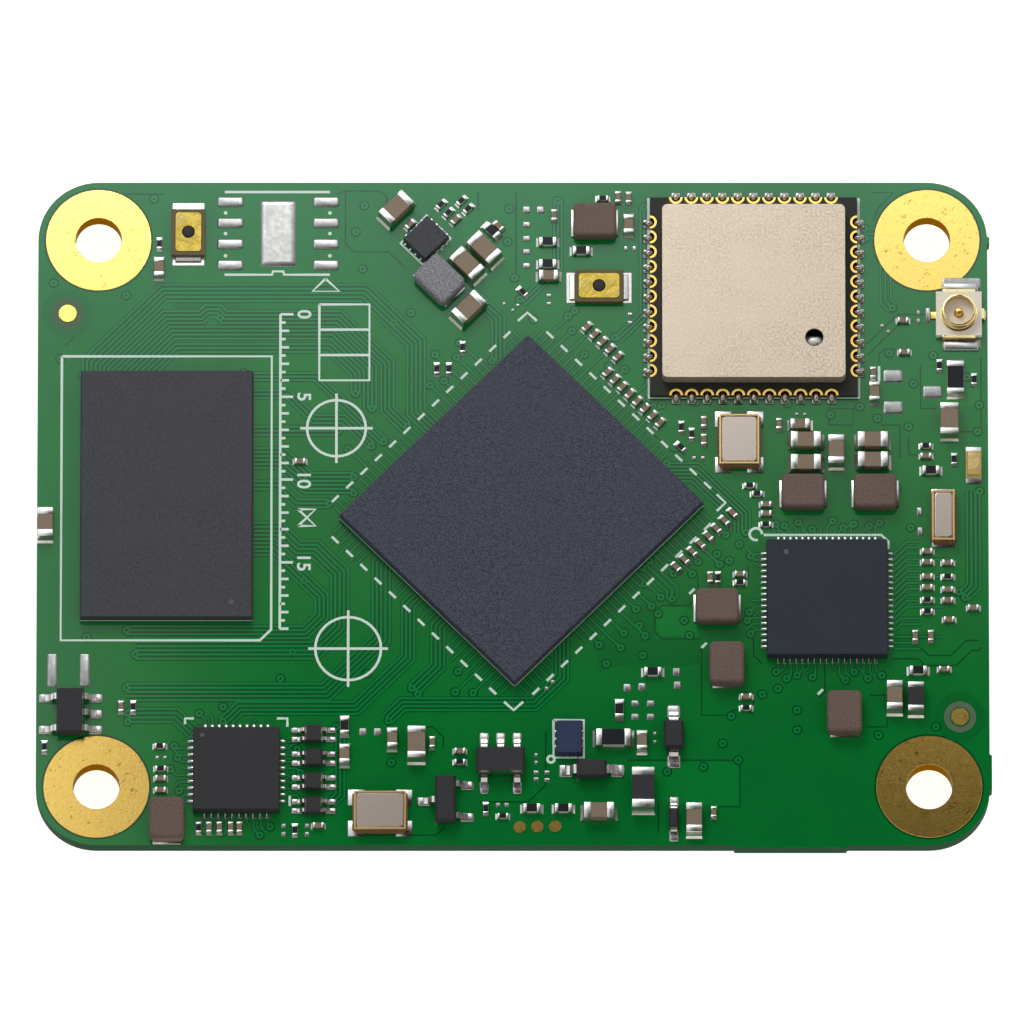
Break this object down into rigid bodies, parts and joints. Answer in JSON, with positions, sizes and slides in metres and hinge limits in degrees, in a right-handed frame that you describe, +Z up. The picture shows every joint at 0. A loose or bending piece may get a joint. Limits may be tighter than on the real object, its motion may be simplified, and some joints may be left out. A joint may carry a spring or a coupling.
{
  "type": "system on module",
  "caption": "Small green circuit board with processor, memory, shielded radio, power parts, push switches and an aerial socket on top, and board plugs below.",
  "frame": {"origin": "below the board's centre, on the faces of the three board plugs that the module rests on", "axes": "+X along the board's length towards the aerial socket, +Y across it towards the radio, +Z up from the plugs to the chips"},
  "size_m": [0.0551, 0.0401, 0.0042],
  "materials": {
    "board": "glossy green solder mask over glass fibre",
    "array_mould": "grainy grey-violet moulding compound",
    "mould": "matt black moulding compound",
    "carrier": "dark laminate with plated half holes",
    "shield_metal": "nickel-silver sheet, satin",
    "inductor": "pressed brown-grey powder",
    "crystal_base": "fired ceramic with gold rim",
    "crystal_lid": "satin lid",
    "capacitor_body": "ceramic with tinned ends",
    "socket_base": "cream moulding",
    "gold": "gold plated",
    "switch_frame": "brown moulding",
    "switch_film": "yellow film",
    "plunger": "dark moulding",
    "dome_steel": "sprung steel",
    "led_lens": "pale lens",
    "plug_plastic": "black moulding"
  },
  "bodies": {
    "module": {"antenna_base": "socket_base", "antenna_pin": "gold", "antenna_resistor": "mould", "antenna_shell": "gold", "board_plug_front": "plug_plastic", "board_plug_rear": "plug_plastic", "board_plug_side": "plug_plastic", "bulk_capacitor_1": "capacitor_body", "bulk_capacitor_2": "capacitor_body", "bulk_capacitor_3": "capacitor_body", "bulk_capacitor_4": "capacitor_body", "bulk_capacitor_5": "capacitor_body", "bulk_capacitor_6": "capacitor_body", "circuit_board": "board", "clock_crystal_base": "crystal_base", "clock_crystal_lid": "crystal_lid", "core_inductor_left": "inductor", "core_inductor_right": "inductor", "diode_1": "mould", "diode_2": "mould", "filter_coil": "mould", "flash_storage": "mould", "input_inductor": "inductor", "io_inductor": "inductor", "left_switch_dome": "dome_steel", "left_switch_film": "switch_film", "left_switch_housing": "switch_frame", "load_switch": "mould", "logic_chip_front": "mould", "logic_chip_left": "mould", "logic_inductor": "inductor", "memory": "mould", "memory_inductor": "inductor", "network_crystal_base": "crystal_base", "network_crystal_lid": "crystal_lid", "network_inductor": "inductor", "network_transceiver": "mould", "power_bead": "mould", "power_controller": "mould", "processor": "array_mould", "radio_carrier": "carrier", "radio_chip": "mould", "radio_crystal_base": "crystal_base", "radio_crystal_lid": "crystal_lid", "radio_shield": "shield_metal", "regulator_inductor": "inductor", "right_switch_dome": "dome_steel", "right_switch_film": "switch_film", "right_switch_housing": "switch_frame", "sense_resistor": "mould", "small_diode": "mould", "status_led": "led_lens", "step_down_regulator": "mould", "surge_array_1": "mould", "surge_array_2": "mould", "surge_array_3": "mould", "surge_array_4": "mould", "transistor": "mould"},
    "left_plunger": {"left_switch_plunger": "plunger"},
    "right_plunger": {"right_switch_plunger": "plunger"}
  },
  "joints": [
    {"name": "left_switch_press", "type": "slide", "parent": "module", "child": "left_plunger", "axis": [0, 0, -1], "range_m": [0, 0.00013], "stiffness_N_per_m": 100},
    {"name": "right_switch_press", "type": "slide", "parent": "module", "child": "right_plunger", "axis": [0, 0, -1], "range_m": [0, 0.00013], "stiffness_N_per_m": 100}
  ]
}
